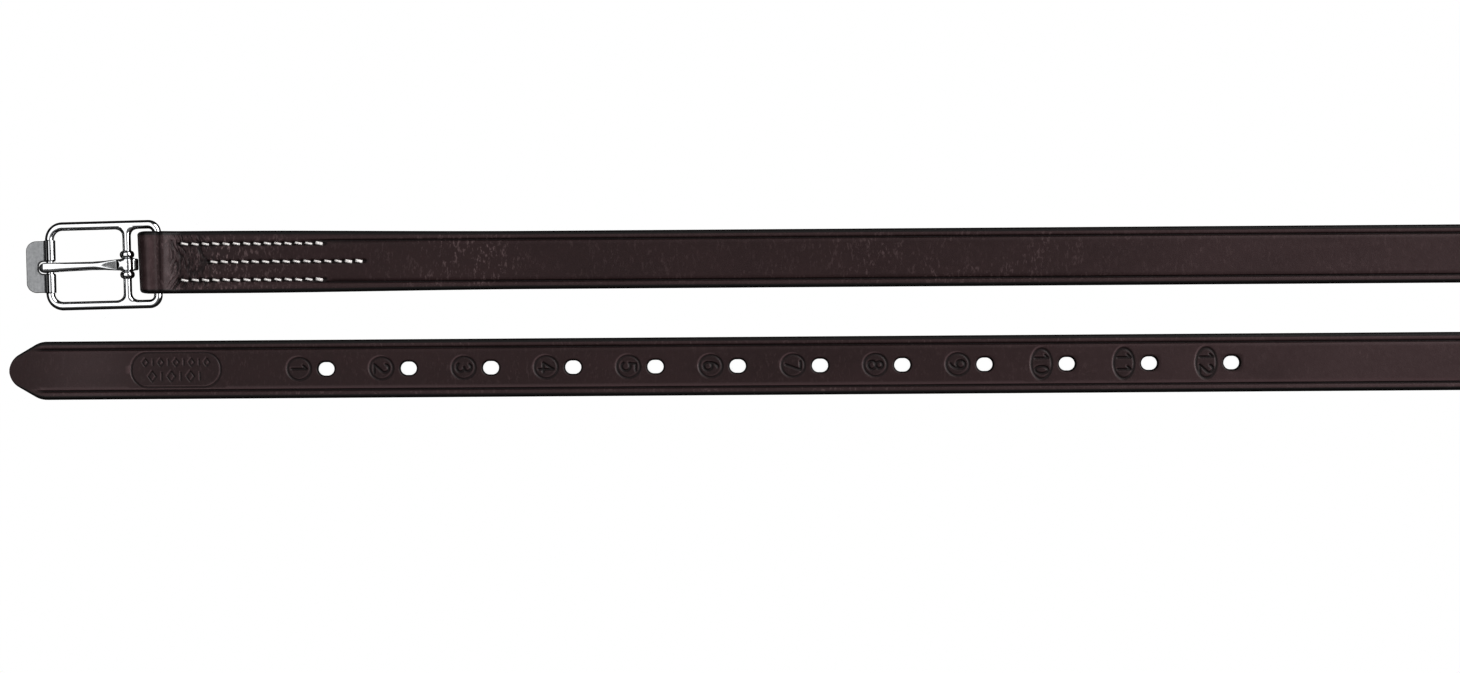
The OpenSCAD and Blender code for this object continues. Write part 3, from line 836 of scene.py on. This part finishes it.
def stitch_row(name, row, underside):
    """One thread's stitches along a row; each lies a little askew, from needle hole to needle hole."""
    start, row_y, count = ROWS[row]
    points, faces = [], []
    slant = 0.3
    for k in range(count):
        a, b = start + k * STITCH_PITCH + 0.62, start + (k + 1) * STITCH_PITCH - 0.82
        wobble = 0.06 * math.sin(2.3 * k + row_y)
        y0, y1 = row_y + slant + wobble, row_y - slant + wobble
        passes = 2 if k == count - 1 or (row == "middle" and k == count - 2) else 1
        for second in range(passes):
            side = 0.38 * (second - (passes - 1) / 2)
            if underside:
                ends = (a, y0 + side, THREAD_D * 0.52), (b, y1 + side, THREAD_D * 0.52)
                more = twisted_stitch(*ends, sag_in=-0.5)
            else:
                lift = THREAD_D * 0.2
                ends = (a, y0 + side, top_z(a) + lift), (b, y1 + side, top_z(b) + lift)
                more = twisted_stitch(*ends, sag_in=0.8)
            faces += [[f + len(points) for f in face] for face in more[1]]
            points += more[0]
    return mesh_piece(name, np.array(points), faces)


# ---------------------------------------------------------------- materials
class Nodes:
    """Short names for building a material's nodes."""

    def __init__(self, name):
        self.material = bpy.data.materials.new(name)
        self.material.use_nodes = True
        self.tree = self.material.node_tree
        self.shader = self.tree.nodes["Principled BSDF"]
        self.position = self.tree.nodes.new("ShaderNodeTexCoord").outputs["Object"]

    def put(self, value, socket):
        """Links a node's output to a socket, or gives the socket a plain value."""
        if isinstance(value, bpy.types.NodeSocket):
            self.tree.links.new(value, socket)
        else:
            socket.default_value = value

    def put_colour(self, value, socket):
        self.put((*value, 1) if isinstance(value, tuple) else value, socket)

    def add(self, kind, inputs=(), **settings):
        node = self.tree.nodes.new(kind)
        for name, value in settings.items():
            setattr(node, name, value)
        for name, value in dict(inputs).items():
            self.put(value, node.inputs[name])
        return node

    def stretched(self, scale):
        return self.add("ShaderNodeMapping", {"Vector": self.position, "Scale": scale}).outputs["Vector"]

    def noise(self, scale, detail=4.0, roughness=0.55, at=None):
        inputs = {"Vector": at or self.position, "Scale": scale, "Detail": detail, "Roughness": roughness}
        return self.add("ShaderNodeTexNoise", inputs).outputs["Fac"]

    def ranged(self, value, low, high, to_low=0.0, to_high=1.0):
        inputs = {"Value": value, "From Min": low, "From Max": high, "To Min": to_low, "To Max": to_high}
        return self.add("ShaderNodeMapRange", inputs, clamp=True).outputs["Result"]

    def math(self, operation, a, b):
        node = self.add("ShaderNodeMath", operation=operation)
        for socket, value in zip(node.inputs, (a, b)):
            self.put(value, socket)
        return node.outputs["Value"]

    def mix(self, factor, a, b):
        node = self.add("ShaderNodeMix", data_type="RGBA")
        for index, value in ((0, factor), (6, a), (7, b)):   # the node's sockets for colours
            self.put_colour(value, node.inputs[index])
        return node.outputs[2]

    def attribute(self, name):
        return self.add("ShaderNodeAttribute", attribute_name=name).outputs["Fac"]

    def bump(self, height, strength, distance, normal=None):
        inputs = {"Height": height, "Strength": strength, "Distance": distance}
        if normal is not None:
            inputs["Normal"] = normal
        return self.add("ShaderNodeBump", inputs).outputs["Normal"]

    def set(self, **values):
        """Sets or links the shader's sockets; base_color stands for Base Color."""
        for name, value in values.items():
            socket = self.shader.inputs[name.replace("_", " ").title().replace("Ior", "IOR")]
            self.put_colour(value, socket)
        return self.material


def leather_material():
    n = Nodes("dark_brown_leather")
    cloud = n.noise(28, 5, at=n.stretched((0.45, 1, 1)))
    mottle = n.noise(420, 6, 0.65)
    face = n.mix(n.ranged(cloud, 0.3, 0.7), (0.0215, 0.0078, 0.0084), (0.0310, 0.0125, 0.0133))
    face = n.mix(n.ranged(mottle, 0.5, 0.72, 0, 0.35), face, (0.040, 0.016, 0.017))
    flecks = n.ranged(n.noise(950, 3, 0.65, n.stretched((1, 0.4, 1))), 0.54, 0.66)
    flecks = n.math("MULTIPLY", flecks, n.ranged(n.noise(60, 4, 0.6), 0.30, 0.64))
    flecks = n.math("MULTIPLY", flecks, n.attribute("flecked"))
    face = n.mix(flecks, face, (0.150, 0.102, 0.104))
    # Rubbed paleness, and painted highlights on the fold, along the edge bands and on one side of the stamps'
    # grooves.
    face = n.mix(n.attribute("worn_and_highlit"), face, (0.095, 0.060, 0.063))
    # Painted shade: grooves, stitch pits, creases and wrinkles darkened by their depth.
    face = n.mix(n.math("MULTIPLY", n.attribute("pressed"), 0.85), face, (0.0035, 0.0012, 0.0015))
    face = n.mix(n.math("MULTIPLY", n.attribute("flesh"), 0.9), face, (0.075, 0.042, 0.028))
    # Near-black dyed edges, and painted shade on the holes' rims.
    colour = n.mix(n.ranged(n.attribute("edge"), 0.25, 0.75), face, (0.0035, 0.0022, 0.0024))
    pores = n.add("ShaderNodeTexVoronoi", {"Vector": n.position, "Scale": 1500.0}).outputs["Distance"]
    grain = n.math("ADD", n.math("MULTIPLY", pores, 0.5), n.noise(2300, 3, 0.6))
    normal = n.bump(grain, 0.16, 0.00012)
    normal = n.bump(n.noise(170, 5, 0.6), 0.22, 0.0004, normal)
    normal = n.bump(flecks, 0.5, 0.00008, normal)
    rough = n.math("ADD", n.ranged(cloud, 0.2, 0.8, 0.44, 0.56), n.ranged(mottle, 0.3, 0.7, -0.05, 0.06))
    rough = n.math("ADD", rough, n.math("MULTIPLY", n.attribute("flesh"), 0.35))
    rough = n.math("SUBTRACT", rough, n.math("MULTIPLY", n.attribute("worn_and_highlit"), 0.15))
    return n.set(base_color=colour, roughness=rough, normal=normal, specular_ior_level=0.34)


def thread_material():
    n = Nodes("waxed_linen_thread")
    fibres = n.noise(2600, 3, 0.6, n.stretched((0.35, 1, 1)))
    colour = n.mix(n.ranged(fibres, 0.35, 0.7), (0.74, 0.71, 0.69), (0.93, 0.91, 0.90))
    colour = n.mix(n.ranged(n.noise(120, 3), 0.5, 0.75, 0, 0.5), colour, (0.62, 0.58, 0.56))
    return n.set(base_color=colour, roughness=0.72, normal=n.bump(fibres, 0.35, 0.00006), sheen_weight=0.25)


def polished_material():
    n = Nodes("polished_stainless_steel")
    smear = n.noise(55, 4)
    scratches = n.noise(900, 2, 0.5, n.stretched((1, 0.06, 1)))
    rough = n.math("ADD", n.ranged(smear, 0.35, 0.7, 0.10, 0.15), n.ranged(scratches, 0.55, 0.8, 0, 0.05))
    colour = n.mix(n.ranged(smear, 0.3, 0.7), (0.74, 0.75, 0.76), (0.82, 0.825, 0.835))
    return n.set(base_color=colour, metallic=1.0, roughness=rough, normal=n.bump(scratches, 0.05, 0.00002))


def satin_material():
    n = Nodes("satin_stainless_steel")
    brushed = n.noise(1500, 3, 0.6, n.stretched((1, 0.05, 1)))
    pits = n.noise(700, 4, 0.6)
    colour = n.mix(n.ranged(pits, 0.3, 0.75), (0.275, 0.28, 0.287), (0.362, 0.367, 0.373))
    polish = n.attribute("polish")
    colour = n.mix(polish, colour, (0.80, 0.81, 0.82))
    rough = n.math("MULTIPLY", n.ranged(brushed, 0.25, 0.75, 0.30, 0.46), n.ranged(polish, 0, 1, 1, 0.28))
    normal = n.bump(brushed, 0.12, 0.00004, n.bump(pits, 0.15, 0.00005))
    # Painted shade: near black along the seam groove on the top of the sleeve.
    colour = n.mix(n.attribute("seam"), colour, (0.012, 0.012, 0.012))
    return n.set(base_color=colour, metallic=1.0, roughness=rough, normal=normal)


# ---------------------------------------------------------------- the pieces
leather, thread = leather_material(), thread_material()
polished, satin = polished_material(), satin_material()

add_piece(build_strap(), "strap", "leather", leather, "strap")
for row in ROWS:
    for kind, underside in (("needle", False), ("bobbin", True)):
        node = f"{kind}_thread_{row}"
        add_piece(stitch_row(f"{kind}_stitches_{row}", row, underside), "strap", "thread", thread, node)

# Each steel piece: its distance function, the box that holds it, its mesh's cell, and its axis's place
margin = 0.6
frame_low = (-FRAME_L - WIRE_R - margin, -FRAME_W / 2 - WIRE_R - margin, -STOP_R - margin)
frame_high = (WIRE_R + margin, FRAME_W / 2 + WIRE_R + margin, STOP_R + margin)
buckle, _ = steel_piece("polished_frame", frame_distance, frame_low, frame_high, 0.21, 0)
add_piece(buckle, "frame", "polished_steel", polished, "buckle_frame")
tongue_low, tongue_high = (-39, -3.4, -3.6), (5.2, 3.4, 4.2)
pin, _ = steel_piece("polished_tongue", tongue_distance, tongue_low, tongue_high, 0.17, -CENTRE_BAR_X)
add_piece(pin, "tongue", "polished_steel", polished, "tongue")
plate_low, plate_high = (-11, -12, -3), (3, 12, 3)
roller, at = steel_piece("satin_roller_plate", plate_distance, plate_low, plate_high, 0.19, -FRAME_L)
on_sleeve = (np.hypot(at[:, 0], at[:, 2]) < SLEEVE_R + 0.08) & (at[:, 0] > -1.9)
point_values(roller, "polish", on_sleeve)
# Painted shade along the sleeve's seam groove, on its top.
point_values(roller, "seam", np.clip(1.6 * bell(at[:, 0], SEAM_X, 0.5), 0, 1) * on_sleeve * (at[:, 2] > 1))
add_piece(roller, "plate", "satin_steel", satin, "roller_plate")


# ---------------------------------------------------------------- stage, light and camera
FLOOR_HALF, FLOOR_Z = 3000, -0.15


def stage_floor():
    """A white table under a white room. The camera sees only its shade in narrow gaps, so that a buckle
    which hangs below it shows too; it lights the leather from around, and is dark in the steel."""
    corners = [(x * FLOOR_HALF, y * FLOOR_HALF, FLOOR_Z) for x, y in ((-1, -1), (1, -1), (1, 1), (-1, 1))]
    floor = mesh_piece("stage_floor", corners, [(0, 1, 2, 3)])
    n = Nodes("white_table")
    path = n.add("ShaderNodeLightPath")
    seen = path.outputs["Is Camera Ray"]
    tint = n.mix(path.outputs["Is Glossy Ray"], (0.85, 0.85, 0.85), (0.02, 0.02, 0.02))
    tint = n.mix(seen, tint, (0.02, 0.02, 0.02))
    floor.data.materials.append(n.set(base_color=tint, roughness=0.9, specular_ior_level=0.0))
    open_sky = n.add("ShaderNodeAmbientOcclusion", {"Distance": 3 * MM}, samples=8).outputs["AO"]
    clear = n.math("MULTIPLY", seen, n.ranged(open_sky, 0.05, 0.4, 0.1, 1.0))
    from_below = n.add("ShaderNodeNewGeometry").outputs["Backfacing"]
    choose = n.add("ShaderNodeMixShader", {"Fac": n.math("MAXIMUM", clear, from_below)})
    n.put(n.shader.outputs["BSDF"], choose.inputs[1])
    n.put(n.add("ShaderNodeBsdfTransparent").outputs["BSDF"], choose.inputs[2])
    n.put(choose.outputs["Shader"], n.tree.nodes["Material Output"].inputs["Surface"])
    floor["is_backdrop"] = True


def soft_light(name, place_m, aim_m, size, radiance):
    lamp = bpy.data.lights.new(name, "AREA")
    lamp.shape, lamp.size, lamp.size_y = "RECTANGLE", *size
    lamp.energy = radiance * math.pi * size[0] * size[1]
    lamp_object = bpy.data.objects.new(name, lamp)
    lamp_object.location = place_m
    lamp_object.rotation_euler = (Vector(aim_m) - Vector(place_m)).to_track_quat("-Z", "Y").to_euler()
    bpy.context.scene.collection.objects.link(lamp_object)


def studio_world():
    """A white wall to the camera; to everything else a dim room, dark towards the horizon."""
    world = bpy.data.worlds.new("studio")
    bpy.context.scene.world = world
    world.use_nodes = True
    nodes, links = world.node_tree.nodes, world.node_tree.links
    nodes.clear()
    height = nodes.new("ShaderNodeSeparateXYZ")
    links.new(nodes.new("ShaderNodeTexCoord").outputs["Generated"], height.inputs[0])
    ramp = nodes.new("ShaderNodeValToRGB")
    for element, place, grey in zip(ramp.color_ramp.elements, (0.35, 0.80), (0.004, 0.20)):
        element.position, element.color = place, (grey, grey, grey, 1)
    links.new(height.outputs["Z"], ramp.inputs[0])
    lit, seen = nodes.new("ShaderNodeBackground"), nodes.new("ShaderNodeBackground")
    links.new(ramp.outputs[0], lit.inputs["Color"])
    seen.inputs["Color"].default_value = (1, 1, 1, 1)
    path, choose = nodes.new("ShaderNodeLightPath"), nodes.new("ShaderNodeMixShader")
    out = nodes.new("ShaderNodeOutputWorld")
    links.new(path.outputs["Is Camera Ray"], choose.inputs[0])
    links.new(lit.outputs[0], choose.inputs[1])
    links.new(seen.outputs[0], choose.inputs[2])
    links.new(choose.outputs[0], out.inputs["Surface"])


stage_floor()
studio_world()
soft_light("left_bank", place_m=(-1.15, 0.75, 2.1), aim_m=(-1.15, 0.75, 0), size=(2.5, 3.8), radiance=1.25)
soft_light("right_bank", place_m=(1.9, 0.8, 1.35), aim_m=(0.2, 0.0, 0), size=(3.0, 1.7), radiance=5.0)

VIEW_WIDTH = 627.2            # how much of the table the picture spans
CAMERA_HEIGHT = 1900.0
FOCUS_HEIGHT = 3              # the height at which it spans that much
SENSOR = 36
camera_data = bpy.data.cameras.new("camera")
camera_data.sensor_width = SENSOR
camera_data.lens = SENSOR * (CAMERA_HEIGHT - FOCUS_HEIGHT) / VIEW_WIDTH
camera = bpy.data.objects.new("camera", camera_data)
camera.location = (0.2455, -0.0335, CAMERA_HEIGHT * MM)
camera.rotation_euler = (0, 0, math.radians(-0.4))
bpy.context.scene.collection.objects.link(camera)
bpy.context.scene.camera = camera
bpy.context.scene.view_settings.view_transform = "Standard"
bpy.context.scene.view_settings.gamma = 0.8

boxes = {"cad": cad_bounds, "visual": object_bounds()}
{k: [list(map(float, corner)) for corner in v] for k, v in boxes.items()}
